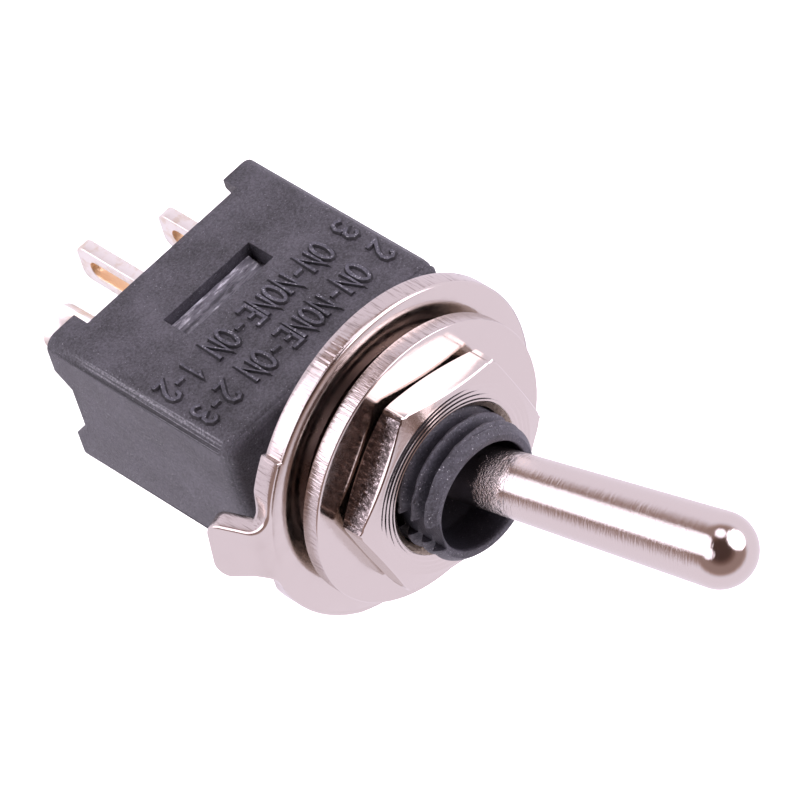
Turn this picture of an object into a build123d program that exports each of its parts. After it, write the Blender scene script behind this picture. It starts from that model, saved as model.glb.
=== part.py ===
from build123d import *
from math import atan, cos, radians, sin, sqrt, tan
import os

# Sub-miniature toggle switch, single pole, changeover (ON-ON).
# Millimetres. The origin is on the bush axis, on the shoulder that the panel seats on.
# +Z runs out of the bush towards the lever, X is the long way of the body and the plane
# that the lever swings in, and -Y is the wide face with the raised marking.

os.makedirs("parts", exist_ok=True)

# ---- Driving dimensions ------------------------------------------------------------

# Housing
body_length = 9.9
body_width = 6.0
boss_height = 1.6
body_rear_z = -9.6
foot_depth = 0.65
foot_length = 1.4
foot_width = 2.0
body_edge_radius = 0.5
front_edge_radius = 0.35
cavity_length = 8.3
cavity_width = 4.4
cavity_front_z = -2.6
cavity_corner_radius = 0.3
window_length = 4.06
window_rear_z = -7.52
window_front_z = -6.34
boss_radius = 2.95

# Threaded bush, M5
bush_length = 4.45
thread_radius = 2.475
rim_outer_radius = 2.2
bush_bore_radius = 1.95
retainer_bore_radius = 2.0
keyway_width = 1.15
keyway_floor = 2.14
rim_height = 0.25
bore_chamfer = 0.05
mouth_z = 2.95
throat_radius = 1.42

# Lever
pivot_z = 1.04
throw_angle = 13.2
ball_radius = 1.68
neck_distance = 3.4
neck_radius = 1.07
tip_distance = 11.6
tip_radius = 1.27
stem_radius = 0.85
stem_end_distance = 4.7
plunger_bore_radius = 0.55
plunger_bore_end_distance = 1.95
drill_point_height = 0.3
ball_clearance = 0.04

# Plunger and spring
plunger_reach = 5.74
plunger_tip_radius = 0.45
plunger_radius = 0.5
plunger_back_distance = 3.75
plunger_shoulder = 0.1
plunger_travel = 0.3
spring_wire = 0.16
spring_turns = 5
spring_clearance = 0.05

# Rocker
rocker_axis_z = -4.9
rocker_angle = 8.0
rocker_width = 1.5
rocker_thickness = 0.3
cradle_half_length = 1.3
rocker_half_length = 3.15
trunnion_radius = 0.24
trunnion_half_length = 1.18
contact_gap_at_rest = 0.03
plunger_gap = 0.05
wing_step_length = 0.55
wing_step_height = 0.2
moving_contact_x = 2.5

# Terminals
terminal_pitch = 2.62
lug_width = 1.58
lug_thickness = 0.5
common_lug_end_z = -14.4
outer_lug_end_z = -13.05
lug_corner_radius = 0.4
eyelet_width = 0.72
eyelet_end_margin = 0.55
eyelet_length = 2.3
pad_thickness = 0.4
contact_radius = 0.65
contact_height = 0.25
contact_crown = 0.15
contact_chamfer = 0.06
rivet_shank_radius = 0.3
rivet_head_radius = 0.5
rivet_head_height = 0.12
ear_inner_y = 0.85
ear_thickness = 0.3
ear_half_length = 0.55
ear_top_z = -4.6
ear_bridge_length = 1.3
trunnion_clearance = 0.03
pad_length = 1.9
pad_width = 1.5
pad_corner_radius = 0.2
bent_lug_twist = -45
bent_lug_lean_about_x = -17
bent_lug_lean_about_y = -10
bent_lug_length = 2.4
bend_top_z = -9.7
bend_bottom_z = -10.4

# Terminal base
base_bottom_z = -9.2
base_clearance = 0.08
snap_half_length = 1.85
snap_top_y = 2.55
snap_foot_height = 0.06
snap_clearance = 0.02
blade_slot_clearance = 0.04
seal_bottom_z = -9.5

# Hardware on the bush
ring_thickness = 0.735
ring_radius = 5.88
shoulder_radius = 6.1
shoulder_half_angle = 34
shoulder_blend_angle = 52
ring_turn = -5
tab_width = 2.3
tab_root_fillet = 0.75
tab_bend = 69
bend_x = 5.65
bend_outer_radius = 0.95
leg_length = 1.39
leg_corner_radius = 0.55
key_half_width = 0.35
key_tip_radius = 2.24
hardware_hole_radius = 2.6
tooth_washer_height = 0.515
tooth_washer_radius = 4.3
tooth_ring_width = 1.0
tooth_count = 10
tooth_twist = 12
tooth_plate = 0.3
tooth_width = 1.05
flat_washer_thickness = 0.65
flat_washer_radius = 5.05
flat_washer_chamfer = 0.1
nut_height = 1.24
nut_across_flats = 7.2
nut_turn = -13.7
nut_face_share = 0.955
nut_chamfer_angle = 28
countersink = 0.22
thread_clearance = 0.03

# ---- Worked-out places ---------------------------------------------------------------

body_front_z = -boss_height
foot_z = body_rear_z - foot_depth
tooth_washer_z = ring_thickness
flat_washer_z = tooth_washer_z + tooth_washer_height
nut_z = flat_washer_z + flat_washer_thickness
seat_radius = ball_radius + ball_clearance

# The lever rests on its stop, thrown towards -X.
lever_frame = Plane(
    origin=(0, 0, pivot_z),
    x_dir=(cos(radians(throw_angle)), 0, sin(radians(throw_angle))),
    z_dir=(-sin(radians(throw_angle)), 0, cos(radians(throw_angle))),
)
# The rocker rests with its +X wing down on the +X contact.
rocker_frame = Plane(
    origin=(0, 0, rocker_axis_z),
    x_dir=(cos(radians(rocker_angle)), 0, -sin(radians(rocker_angle))),
    z_dir=(sin(radians(rocker_angle)), 0, cos(radians(rocker_angle))),
)
lever_section = Plane(origin=lever_frame.origin, x_dir=lever_frame.x_dir, z_dir=(0, -1, 0))
rocker_section = Plane(origin=rocker_frame.origin, x_dir=rocker_frame.x_dir, z_dir=(0, -1, 0))
lever_axis = Axis(lever_frame.origin, lever_frame.z_dir)


# ---- Housing: body, shoulder and threaded bush, moulded in one piece -------------------

throat_z = pivot_z + sqrt(seat_radius**2 - throat_radius**2)

with BuildPart() as housing:
    with BuildSketch(Plane.XY.offset(foot_z)):
        Rectangle(body_length, body_width)
    extrude(amount=body_front_z - foot_z)
    fillet(housing.edges().filter_by(Axis.Z), body_edge_radius)
    fillet(housing.faces().sort_by(Axis.Z)[-1].edges(), front_edge_radius)
    # Four corner feet are left between the two crossing recesses.
    with BuildSketch(Plane.XY.offset(foot_z)):
        Rectangle(body_length - 2 * foot_length, body_width + 1)
        Rectangle(body_length + 1, body_width - 2 * foot_width)
    extrude(amount=foot_depth, mode=Mode.SUBTRACT)
    with BuildSketch(Plane.XY.offset(foot_z)):
        RectangleRounded(cavity_length, cavity_width, cavity_corner_radius)
    extrude(amount=cavity_front_z - foot_z, mode=Mode.SUBTRACT)
    # A window in each wide wall takes a snap of the terminal base.
    with Locations((0, 0, (window_rear_z + window_front_z) / 2)):
        Box(window_length, body_width + 1, window_front_z - window_rear_z, mode=Mode.SUBTRACT)
    with BuildSketch(Plane.XY.offset(body_front_z)):
        Circle(boss_radius)
    extrude(amount=boss_height)
    with BuildSketch(Plane.XZ):
        with BuildLine():
            Polyline(
                (0, 0),
                (thread_radius, 0),
                (thread_radius, bush_length - rim_height),
                (rim_outer_radius, bush_length),
                (0, bush_length),
                close=True,
            )
        make_face()
    revolve(axis=Axis.Z)
    # The bore: straight at the mouth, a cone to the throat, then the ball's seat.
    with BuildSketch(Plane.XZ):
        with BuildLine():
            Polyline(
                (0, bush_length),
                (bush_bore_radius + bore_chamfer, bush_length),
                (bush_bore_radius, bush_length - bore_chamfer),
                (bush_bore_radius, mouth_z),
                (throat_radius, throat_z),
            )
            RadiusArc((throat_radius, throat_z), (seat_radius, pivot_z), seat_radius)
            Polyline(
                (seat_radius, pivot_z),
                (seat_radius, 0),
                (retainer_bore_radius, 0),
                (retainer_bore_radius, cavity_front_z),
                (0, cavity_front_z),
                (0, bush_length),
            )
        make_face()
    revolve(axis=Axis.Z, mode=Mode.SUBTRACT)
    # Keyway for the locking ring, open at the rim.
    with Locations((keyway_floor, 0, 0)):
        Box(
            1,
            keyway_width,
            bush_length + 0.1,
            align=(Align.MIN, Align.CENTER, Align.MIN),
            mode=Mode.SUBTRACT,
        )
housing.part.label = "housing"
export_step(housing.part, "parts/housing.step")


# ---- Pivot retainer: holds the ball up in its seat and guides the stem in one plane -----

flange_thickness = 0.5
flange_clearance = 0.1
stem_clearance = 0.05
boss_fit_clearance = 0.03
retainer_bottom_z = cavity_front_z - flange_thickness
slot_half_width = stem_radius + stem_clearance


def slot_separation(z):
    """Distance between the centres of the stem slot's round ends at a height."""
    reach = (pivot_z - z) * tan(radians(throw_angle)) + stem_radius / cos(radians(throw_angle))
    return 2 * (reach + stem_clearance - slot_half_width)


with BuildPart() as pivot_retainer:
    with BuildSketch(Plane.XY.offset(retainer_bottom_z)):
        RectangleRounded(
            cavity_length - 2 * flange_clearance,
            cavity_width - 2 * flange_clearance,
            cavity_corner_radius,
        )
    extrude(amount=flange_thickness)
    with BuildSketch(Plane.XY.offset(cavity_front_z)):
        Circle(retainer_bore_radius - boss_fit_clearance)
    extrude(amount=-cavity_front_z)
    with Locations((0, 0, pivot_z)):
        Sphere(seat_radius, mode=Mode.SUBTRACT)
    # The slot is cut at the stem's own angle, so it is longest at the bottom.
    with BuildSketch(Plane.XY.offset(retainer_bottom_z)):
        SlotCenterToCenter(slot_separation(retainer_bottom_z), 2 * slot_half_width)
    with BuildSketch(Plane.XY):
        SlotCenterToCenter(slot_separation(0), 2 * slot_half_width)
    loft(mode=Mode.SUBTRACT)
pivot_retainer.part.label = "pivot_retainer"
export_step(pivot_retainer.part, "parts/pivot_retainer.step")


# ---- Toggle lever: tip, taper, neck, ball and hollow stem, turned in one piece ----------

taper = atan((tip_radius - neck_radius) / (tip_distance - neck_distance))
tip_join = (tip_radius * cos(taper), tip_distance - tip_radius * sin(taper))
ball_top = (neck_radius, sqrt(ball_radius**2 - neck_radius**2))
ball_foot = (stem_radius, -sqrt(ball_radius**2 - stem_radius**2))

with BuildPart() as toggle_lever:
    with BuildSketch(lever_section):
        with BuildLine():
            RadiusArc((0, tip_distance + tip_radius), tip_join, tip_radius)
            Polyline(tip_join, (neck_radius, neck_distance), ball_top)
            RadiusArc(ball_top, (ball_radius, 0), ball_radius)
            RadiusArc((ball_radius, 0), ball_foot, ball_radius)
            Polyline(
                ball_foot,
                (stem_radius, -stem_end_distance),
                (plunger_bore_radius, -stem_end_distance),
                (plunger_bore_radius, -plunger_bore_end_distance),
                (0, -plunger_bore_end_distance + drill_point_height),
                (0, tip_distance + tip_radius),
            )
        make_face()
    revolve(axis=lever_axis)
toggle_lever.part.label = "toggle_lever"
export_step(toggle_lever.part, "parts/toggle_lever.step")


# ---- Plunger: nylon pin that presses the rocker -----------------------------------------

tip_centre = -(plunger_reach - plunger_tip_radius)

with BuildPart() as plunger:
    with BuildSketch(lever_section):
        with BuildLine():
            RadiusArc(
                (plunger_tip_radius, tip_centre),
                (0, -plunger_reach),
                plunger_tip_radius,
            )
            Polyline(
                (0, -plunger_reach),
                (0, -plunger_back_distance),
                (plunger_radius, -plunger_back_distance),
                (plunger_radius, tip_centre + plunger_shoulder),
                (plunger_tip_radius, tip_centre),
            )
        make_face()
    revolve(axis=lever_axis)
plunger.part.label = "plunger"
export_step(plunger.part, "parts/plunger.step")


# ---- Plunger spring ----------------------------------------------------------------------

spring_radius = plunger_bore_radius - spring_clearance - spring_wire / 2
spring_low = -plunger_back_distance + spring_wire / 2
spring_high = -plunger_bore_end_distance - spring_wire / 2
spring_length = spring_high - spring_low

with BuildPart() as plunger_spring:
    with BuildLine():
        coil = Helix(
            spring_length / spring_turns,
            spring_length,
            spring_radius,
            center=lever_frame.offset(spring_low).origin,
            direction=lever_frame.z_dir,
        )
    with BuildSketch(Plane(origin=coil @ 0, z_dir=coil % 0)):
        RegularPolygon(spring_wire / 2, 6)
    sweep(path=coil, is_frenet=True)
plunger_spring.part.label = "plunger_spring"
export_step(plunger_spring.part, "parts/plunger_spring.step")


# ---- Rocker: the moving contact, a pressed strip on two trunnions ------------------------

# The plunger's end runs along an arc in the lever and the rocker turns under it, so its
# path over the rocker is an upward curve. The cradle is that curve, held off by a gap.
centre_height = pivot_z + tip_centre - rocker_axis_z
swing_x = -tip_centre * sin(radians(throw_angle))
swing_z = pivot_z + tip_centre * cos(radians(throw_angle)) - rocker_axis_z
turned_x = swing_x * cos(radians(rocker_angle)) - swing_z * sin(radians(rocker_angle))
turned_z = swing_x * sin(radians(rocker_angle)) + swing_z * cos(radians(rocker_angle))
path_rise = turned_z - centre_height
path_radius = (turned_x**2 + path_rise**2) / (2 * path_rise)
cradle_radius = path_radius + plunger_tip_radius + plunger_gap
cradle_centre = centre_height + path_radius
cradle_edge = cradle_centre - sqrt(cradle_radius**2 - cradle_half_length**2)
wing_x = cradle_half_length + wing_step_length
wing_z = cradle_edge + wing_step_height

with BuildPart() as rocker_contact:
    with BuildSketch(rocker_section):
        with BuildLine():
            Polyline(
                (-rocker_half_length, wing_z),
                (-wing_x, wing_z),
                (-cradle_half_length, cradle_edge),
            )
            ThreePointArc(
                (-cradle_half_length, cradle_edge),
                (0, cradle_centre - cradle_radius),
                (cradle_half_length, cradle_edge),
            )
            Polyline(
                (cradle_half_length, cradle_edge),
                (wing_x, wing_z),
                (rocker_half_length, wing_z),
            )
            offset(amount=rocker_thickness, side=Side.RIGHT)
        make_face()
    extrude(amount=rocker_width / 2, both=True)
    for side in (-1, 1):
        with BuildSketch(rocker_section.offset(side * rocker_width / 4)):
            Circle(trunnion_radius)
        extrude(amount=side * (trunnion_half_length - rocker_width / 4))
    with BuildSketch(rocker_frame):
        with Locations((-moving_contact_x, 0), (moving_contact_x, 0)):
            Circle(rivet_shank_radius)
    extrude(amount=2, mode=Mode.SUBTRACT)
rocker_contact.part.label = "rocker_contact"
export_step(rocker_contact.part, "parts/rocker_contact.step")


# ---- Silver contacts: two rivets in the rocker's wings, two on the outer terminals --------

crown_radius = (contact_radius**2 + contact_crown**2) / (2 * contact_crown)
face_depth = contact_height - contact_crown
wing_bottom = wing_z - rocker_thickness

for side, name in ((-1, "moving_contact_left"), (1, "moving_contact_right")):
    with BuildPart() as moving_contact:
        with BuildSketch(rocker_section):
            with BuildLine():
                RadiusArc(
                    (0, wing_bottom - contact_height),
                    (contact_radius, wing_bottom - face_depth),
                    -crown_radius,
                )
                Polyline(
                    (contact_radius, wing_bottom - face_depth),
                    (contact_radius, wing_bottom),
                    (rivet_shank_radius, wing_bottom),
                    (rivet_shank_radius, wing_z),
                    (rivet_head_radius, wing_z),
                    (rivet_head_radius - rivet_head_height, wing_z + rivet_head_height),
                    (0, wing_z + rivet_head_height),
                    (0, wing_bottom - contact_height),
                )
            make_face()
        revolve(axis=Axis(rocker_frame.origin, rocker_frame.z_dir))
    moving_contact.part = moving_contact.part.moved(
        Location(rocker_frame.x_dir * side * moving_contact_x)
    )
    moving_contact.part.label = name
    export_step(moving_contact.part, f"parts/{name}.step")

# The fixed contact's face is just under the lowest point of the crowned contact above it.
crown_centre = wing_bottom - contact_height + crown_radius
lowest_point = (
    rocker_axis_z
    - moving_contact_x * sin(radians(rocker_angle))
    + crown_centre * cos(radians(rocker_angle))
    - crown_radius
)
fixed_face_z = lowest_point - contact_gap_at_rest
pad_top_z = fixed_face_z - contact_height
base_top_z = pad_top_z - pad_thickness

for side, name in ((-1, "fixed_contact_left"), (1, "fixed_contact_right")):
    with BuildPart() as fixed_contact:
        with BuildSketch(Plane.XY.offset(base_top_z)):
            with Locations((side * terminal_pitch, 0)):
                Circle(rivet_shank_radius)
        extrude(amount=pad_thickness)
        with BuildSketch(Plane.XY.offset(pad_top_z)):
            with Locations((side * terminal_pitch, 0)):
                Circle(contact_radius)
        extrude(amount=contact_height)
        chamfer(fixed_contact.faces().sort_by(Axis.Z)[-1].edges(), contact_chamfer)
    fixed_contact.part.label = name
    export_step(fixed_contact.part, f"parts/{name}.step")


# ---- Terminals: blades with an eyelet each, and the parts that they carry inside ----------

def lug_outline(length):
    """Blade of a solder lug with its eyelet, in the lug's own plane, root at the origin."""
    with BuildSketch() as outline:
        Rectangle(lug_width, length, align=(Align.CENTER, Align.MAX))
        fillet(outline.vertices().group_by(Axis.Y)[0], lug_corner_radius)
        with Locations((0, -length + eyelet_end_margin + eyelet_length / 2)):
            SlotOverall(eyelet_length, eyelet_width, rotation=90, mode=Mode.SUBTRACT)
    return outline.sketch


notch_radius = trunnion_radius + trunnion_clearance

with BuildPart() as terminal_common:
    with BuildSketch(Plane.XY.offset(base_top_z)):
        Rectangle(ear_bridge_length, 2 * (ear_inner_y + ear_thickness))
    extrude(amount=ear_thickness)
    for side in (-1, 1):
        with BuildSketch(Plane.XZ.offset(side * ear_inner_y)):
            with Locations((0, base_top_z)):
                Rectangle(
                    2 * ear_half_length,
                    ear_top_z - base_top_z,
                    align=(Align.CENTER, Align.MIN),
                )
            with Locations((0, rocker_axis_z)):
                Circle(notch_radius, mode=Mode.SUBTRACT)
                Rectangle(
                    2 * notch_radius,
                    1,
                    align=(Align.CENTER, Align.MIN),
                    mode=Mode.SUBTRACT,
                )
        extrude(amount=side * ear_thickness)
    with BuildSketch(Plane(origin=(0, 0, base_top_z), x_dir=(0, 1, 0), z_dir=(1, 0, 0))):
        add(lug_outline(base_top_z - common_lug_end_z))
    extrude(amount=lug_thickness / 2, both=True)
terminal_common.part.label = "terminal_common"
export_step(terminal_common.part, "parts/terminal_common.step")

for side, name in ((-1, "terminal_left"), (1, "terminal_right")):
    bent = side > 0
    with BuildPart() as terminal:
        with BuildSketch(Plane.XY.offset(base_top_z)):
            with Locations((side * terminal_pitch, 0)):
                RectangleRounded(pad_width, pad_length, pad_corner_radius)
                Circle(rivet_shank_radius, mode=Mode.SUBTRACT)
        extrude(amount=pad_thickness)
        if bent:
            # One lug was twisted and leant over below the body.
            section = Plane.XY.offset(bend_top_z).shift_origin((terminal_pitch, 0, bend_top_z))
            turned = Plane((terminal_pitch, 0, bend_bottom_z)).rotated(
                (bent_lug_lean_about_x, bent_lug_lean_about_y, bent_lug_twist)
            )
            with BuildSketch(section):
                Rectangle(lug_thickness, lug_width)
            extrude(amount=base_top_z - bend_top_z)
            with BuildSketch(section):
                Rectangle(lug_thickness, lug_width)
            with BuildSketch(turned):
                Rectangle(lug_thickness, lug_width)
            loft()
            with BuildSketch(
                Plane(origin=turned.origin, x_dir=turned.y_dir, z_dir=turned.x_dir)
            ):
                add(lug_outline(bent_lug_length))
            extrude(amount=lug_thickness / 2, both=True)
        else:
            root = (side * terminal_pitch, 0, base_top_z)
            with BuildSketch(Plane(origin=root, x_dir=(0, 1, 0), z_dir=(1, 0, 0))):
                add(lug_outline(base_top_z - outer_lug_end_z))
            extrude(amount=lug_thickness / 2, both=True)
    terminal.part.label = name
    export_step(terminal.part, f"parts/{name}.step")


# ---- Terminal base with its two snaps, and the sealing resin behind it --------------------

blade_slots = [(-terminal_pitch, 0), (0, 0), (terminal_pitch, 0)]
blade_slot_thickness = lug_thickness + blade_slot_clearance
blade_slot_width = lug_width + blade_slot_clearance
base_half_width = cavity_width / 2 - base_clearance
snap_root_y = base_half_width - 0.1
snap_foot_y = base_half_width + snap_foot_height
snap_rear_z = window_rear_z + snap_clearance
snap_front_z = window_front_z - snap_clearance

with BuildPart() as terminal_base:
    with BuildSketch(Plane.XY.offset(base_bottom_z)):
        RectangleRounded(
            cavity_length - 2 * base_clearance,
            2 * base_half_width,
            cavity_corner_radius,
        )
        with Locations(blade_slots):
            Rectangle(blade_slot_thickness, blade_slot_width, mode=Mode.SUBTRACT)
    extrude(amount=base_top_z - base_bottom_z)
    with BuildSketch(Plane.YZ):
        with BuildLine():
            Polyline(
                (snap_root_y, snap_rear_z),
                (snap_top_y, snap_rear_z),
                (snap_foot_y, snap_front_z),
                (snap_root_y, snap_front_z),
                close=True,
            )
        make_face()
        mirror(about=Plane.YZ)
    extrude(amount=snap_half_length, both=True)
terminal_base.part.label = "terminal_base"
export_step(terminal_base.part, "parts/terminal_base.step")

with BuildPart() as terminal_seal:
    with BuildSketch(Plane.XY.offset(seal_bottom_z)):
        RectangleRounded(cavity_length, cavity_width, cavity_corner_radius)
        with Locations(blade_slots):
            Rectangle(lug_thickness, lug_width, mode=Mode.SUBTRACT)
    extrude(amount=base_bottom_z - seal_bottom_z)
terminal_seal.part.label = "terminal_seal"
export_step(terminal_seal.part, "parts/terminal_seal.step")


# ---- Locking ring: keyed to the bush, with a wide shoulder and a tab bent to the rear -----

tab_zone = 2.0
tab_blank_x = 5.0
bend_inner_radius = bend_outer_radius - ring_thickness
bend_centre_z = ring_thickness - bend_outer_radius
bend_angle = radians(tab_bend)


def on_bend(radius, along=0):
    """Point in the XZ plane at the end of the bend, moved down the leg."""
    return (
        bend_x + radius * sin(bend_angle) + along * cos(bend_angle),
        bend_centre_z + radius * cos(bend_angle) - along * sin(bend_angle),
    )


with BuildPart() as locking_ring:
    with BuildSketch():
        Circle(ring_radius)
        with BuildLine():
            start = (
                shoulder_radius * cos(radians(shoulder_half_angle)),
                -shoulder_radius * sin(radians(shoulder_half_angle)),
            )
            end = (start[0], -start[1])
            blend = (
                ring_radius * cos(radians(shoulder_blend_angle)),
                ring_radius * sin(radians(shoulder_blend_angle)),
            )
            ThreePointArc(start, (shoulder_radius, 0), end)
            Polyline(end, blend, (0, 0), start)
        make_face()
    extrude(amount=ring_thickness)
    # The tab's plan, filleted into the shoulder, is cut to the bent sheet's side view.
    with BuildSketch(Plane.XY.offset(ring_thickness)) as tab_plan:
        Circle(shoulder_radius)
        Rectangle(9, tab_width, align=(Align.MIN, Align.CENTER))
        fillet(tab_plan.vertices().filter_by_position(Axis.X, 5, 7), tab_root_fillet)
        with Locations((tab_blank_x, 0)):
            Rectangle(4, 2 * tab_zone, align=(Align.MIN, Align.CENTER), mode=Mode.INTERSECT)
    extrude(amount=-3)
    with BuildSketch(Plane.XZ):
        with Locations((tab_blank_x, ring_thickness)):
            Rectangle(5, 4, align=(Align.MIN, Align.MAX))
        with BuildLine():
            Polyline((bend_x, 0), (tab_blank_x, 0), (tab_blank_x, ring_thickness))
            Line((tab_blank_x, ring_thickness), (bend_x, ring_thickness))
            RadiusArc((bend_x, ring_thickness), on_bend(bend_outer_radius), bend_outer_radius)
            Polyline(
                on_bend(bend_outer_radius),
                on_bend(bend_outer_radius, leg_length),
                on_bend(bend_inner_radius, leg_length),
                on_bend(bend_inner_radius),
            )
            RadiusArc(on_bend(bend_inner_radius), (bend_x, 0), -bend_inner_radius)
        make_face(mode=Mode.SUBTRACT)
    extrude(amount=tab_zone, both=True, mode=Mode.SUBTRACT)
    leg_corners = locking_ring.faces().sort_by(Axis.Z)[0].edges().sort_by(SortBy.LENGTH)[:2]
    fillet(leg_corners, leg_corner_radius)
    with BuildSketch():
        Circle(hardware_hole_radius)
        with Locations((key_tip_radius, 0)):
            Rectangle(1, 2 * key_half_width, align=(Align.MIN, Align.CENTER), mode=Mode.SUBTRACT)
    extrude(amount=ring_thickness, mode=Mode.SUBTRACT)
locking_ring.part = locking_ring.part.rotate(Axis.Z, ring_turn)
locking_ring.part.label = "locking_ring"
export_step(locking_ring.part, "parts/locking_ring.step")


# ---- Internal-tooth lock washer ------------------------------------------------------------

# Each tooth is twisted out of the plate and runs a little into the ring around it.
tooth_outer_radius = tooth_washer_radius - tooth_ring_width + 0.1
tooth_length = tooth_outer_radius - hardware_hole_radius
tooth_middle_z = tooth_washer_z + tooth_washer_height / 2

with BuildPart() as tooth_washer:
    with BuildSketch(Plane.XY.offset(tooth_middle_z - tooth_plate / 2)):
        Circle(tooth_washer_radius)
        Circle(tooth_washer_radius - tooth_ring_width, mode=Mode.SUBTRACT)
    extrude(amount=tooth_plate)
    with Locations((0, 0, tooth_middle_z)):
        with PolarLocations(hardware_hole_radius + tooth_length / 2, tooth_count):
            Box(tooth_length, tooth_width, tooth_plate, rotation=(tooth_twist, 0, 0))
tooth_washer.part.label = "tooth_washer"
export_step(tooth_washer.part, "parts/tooth_washer.step")


# ---- Flat washer -----------------------------------------------------------------------------

with BuildPart() as flat_washer:
    with BuildSketch(Plane.XY.offset(flat_washer_z)):
        Circle(flat_washer_radius)
        Circle(hardware_hole_radius, mode=Mode.SUBTRACT)
    extrude(amount=flat_washer_thickness)
    outer_edges = flat_washer.edges().filter_by(GeomType.CIRCLE).sort_by(SortBy.RADIUS)[-2:]
    chamfer(outer_edges, flat_washer_chamfer)
flat_washer.part.label = "flat_washer"
export_step(flat_washer.part, "parts/flat_washer.step")


# ---- Hex nut ---------------------------------------------------------------------------------

nut_corner_radius = nut_across_flats / 2 / cos(radians(30))
nut_face_radius = nut_face_share * nut_across_flats / 2
corner_drop = (nut_corner_radius - nut_face_radius) * tan(radians(nut_chamfer_angle))
nut_bore_radius = thread_radius + thread_clearance

with BuildPart() as hex_nut:
    with BuildSketch(Plane.XY.offset(nut_z)):
        RegularPolygon(nut_across_flats / 2, 6, major_radius=False, rotation=nut_turn)
    extrude(amount=nut_height)
    with BuildSketch(Plane.XZ):
        with BuildLine():
            Polyline(
                (nut_bore_radius, nut_z + countersink),
                (nut_bore_radius + countersink, nut_z),
                (nut_face_radius, nut_z),
                (nut_corner_radius, nut_z + corner_drop),
                (nut_corner_radius, nut_z + nut_height - corner_drop),
                (nut_face_radius, nut_z + nut_height),
                (nut_bore_radius + countersink, nut_z + nut_height),
                (nut_bore_radius, nut_z + nut_height - countersink),
                close=True,
            )
        make_face()
    revolve(axis=Axis.Z, mode=Mode.INTERSECT)
hex_nut.part.label = "hex_nut"
export_step(hex_nut.part, "parts/hex_nut.step")
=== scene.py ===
import bmesh
import bpy
import math
from mathutils import Matrix, Vector, geometry, noise


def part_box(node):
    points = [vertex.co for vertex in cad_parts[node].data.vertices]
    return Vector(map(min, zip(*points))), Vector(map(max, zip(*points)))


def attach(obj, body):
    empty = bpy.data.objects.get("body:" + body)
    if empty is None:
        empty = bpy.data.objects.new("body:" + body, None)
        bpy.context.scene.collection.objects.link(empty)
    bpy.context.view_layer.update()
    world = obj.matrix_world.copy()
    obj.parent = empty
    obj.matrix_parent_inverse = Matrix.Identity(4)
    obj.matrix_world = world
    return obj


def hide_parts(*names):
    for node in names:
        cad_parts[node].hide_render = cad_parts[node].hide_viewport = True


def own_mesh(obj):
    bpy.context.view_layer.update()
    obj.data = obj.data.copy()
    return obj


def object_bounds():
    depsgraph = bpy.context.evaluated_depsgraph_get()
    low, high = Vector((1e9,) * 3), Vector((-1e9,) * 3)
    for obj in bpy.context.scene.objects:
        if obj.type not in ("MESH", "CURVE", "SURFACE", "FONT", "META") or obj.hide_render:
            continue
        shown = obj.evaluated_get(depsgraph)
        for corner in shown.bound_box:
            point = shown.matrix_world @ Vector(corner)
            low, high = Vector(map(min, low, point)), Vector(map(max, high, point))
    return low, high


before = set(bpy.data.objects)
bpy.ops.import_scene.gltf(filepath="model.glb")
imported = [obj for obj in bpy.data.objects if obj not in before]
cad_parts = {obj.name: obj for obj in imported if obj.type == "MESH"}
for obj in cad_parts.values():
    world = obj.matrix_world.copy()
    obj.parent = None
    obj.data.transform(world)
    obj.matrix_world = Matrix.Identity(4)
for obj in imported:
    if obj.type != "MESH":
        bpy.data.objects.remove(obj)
cadLow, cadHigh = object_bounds()
mm = 0.001
tau = 2 * math.pi


# small helpers

def toLinear(hexColour):
    # sRGB hex to the linear values that the shaders take
    parts = [int(hexColour[i:i + 2], 16) / 255 for i in (1, 3, 5)]
    return [p / 12.92 if p <= 0.04045 else ((p + 0.055) / 1.055) ** 2.4 for p in parts] + [1.0]


def addNode(tree, kind, settings=None, links=None, out=None, into=None):
    # one node: settings fill its ramp, properties or inputs, links feed its inputs from other sockets,
    # out picks the socket to hand back in place of the node, and into is the socket that takes it
    node = tree.nodes.new("ShaderNode" + kind)
    for name, value in (settings or {}).items():
        if name in ("EASE", "LINEAR"):
            drawRamp(node.color_ramp, name, value)
        elif isinstance(name, str) and hasattr(node, name) and name not in node.inputs:
            setattr(node, name, value)
        else:
            node.inputs[name].default_value = value
    for name, source in (links or {}).items():
        tree.links.new(source, node.inputs[name])
    made = node if out is None else node.outputs[out]
    if into is not None:
        tree.links.new(made, into)
    return made


def drawRamp(line, curve, stops):
    # stops are (position, value) pairs, where a value is a grey or a hex colour
    line.interpolation = curve
    while len(line.elements) < len(stops):
        line.elements.new(0.5)
    for element, (position, value) in zip(line.elements, stops):
        element.position = position
        element.color = toLinear(value) if isinstance(value, str) else (value, value, value, 1)


def newMaterial(name, colour, metallic, roughness, more=None):
    # an empty material with one Principled shader, whose constants sit on its own sockets
    material = bpy.data.materials.new(name)
    material.use_nodes = True
    tree = material.node_tree
    tree.nodes.clear()
    shader = addNode(tree, "BsdfPrincipled", {"Base Color": toLinear(colour), "Metallic": metallic,
                                              "Roughness": roughness, **(more or {})})
    addNode(tree, "OutputMaterial", links={"Surface": shader.outputs["BSDF"]})
    return material, tree, shader, addNode(tree, "TexCoord", out="Object")


def addPiece(name, points, faces, materials, body, replaced=(), faceSlots=None,
             smoothAngle=35):
    # mesh object from millimetre points, riding on its body in place of the named CAD nodes
    mesh = bpy.data.meshes.new(name)
    mesh.from_pydata([Vector(p) * mm for p in points], [], faces)
    mesh.validate()
    return finishPiece(name, mesh, materials, body, replaced, faceSlots, smoothAngle)


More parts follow.
